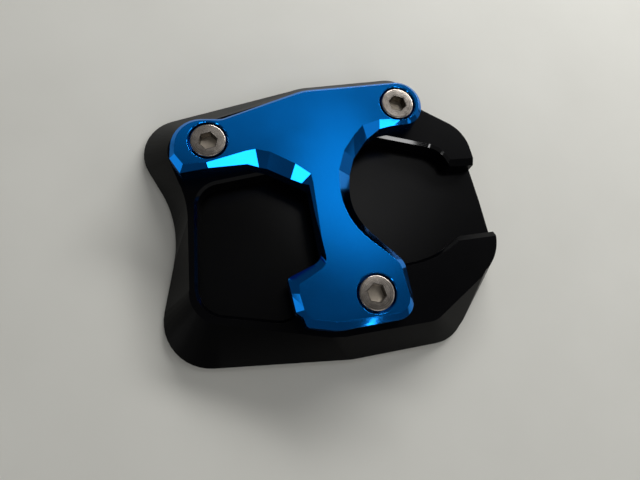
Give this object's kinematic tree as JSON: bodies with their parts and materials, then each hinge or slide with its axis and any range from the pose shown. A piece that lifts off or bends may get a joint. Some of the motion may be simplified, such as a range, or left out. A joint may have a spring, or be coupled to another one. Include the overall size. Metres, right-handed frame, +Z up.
{
  "type": "side stand plate",
  "caption": "Enlarged foot for a motorbike side stand: a flared base plate with a foot pocket, a bridge plate screwed over it, and cap screws.",
  "frame": {"origin": "middle of the ground outline's box, on the ground face", "axes": "+Z up from the ground, through the plates along the screws; +X towards the open end, where the stand's leg leaves the pocket; +Y towards the pair of rear screws"},
  "size_m": [0.0944, 0.083, 0.0165],
  "materials": {
    "black_anodised": "blasted and anodised black, satin",
    "blue_anodised": "machined and anodised blue, satin, with bright facets",
    "screw_steel": "plain stainless, turned"
  },
  "bodies": {
    "root": {"base_plate": "black_anodised", "clamp_plate": "blue_anodised", "screw_rear_left": "screw_steel", "screw_rear_right": "screw_steel", "screw_front": "screw_steel"}
  },
  "joints": []
}
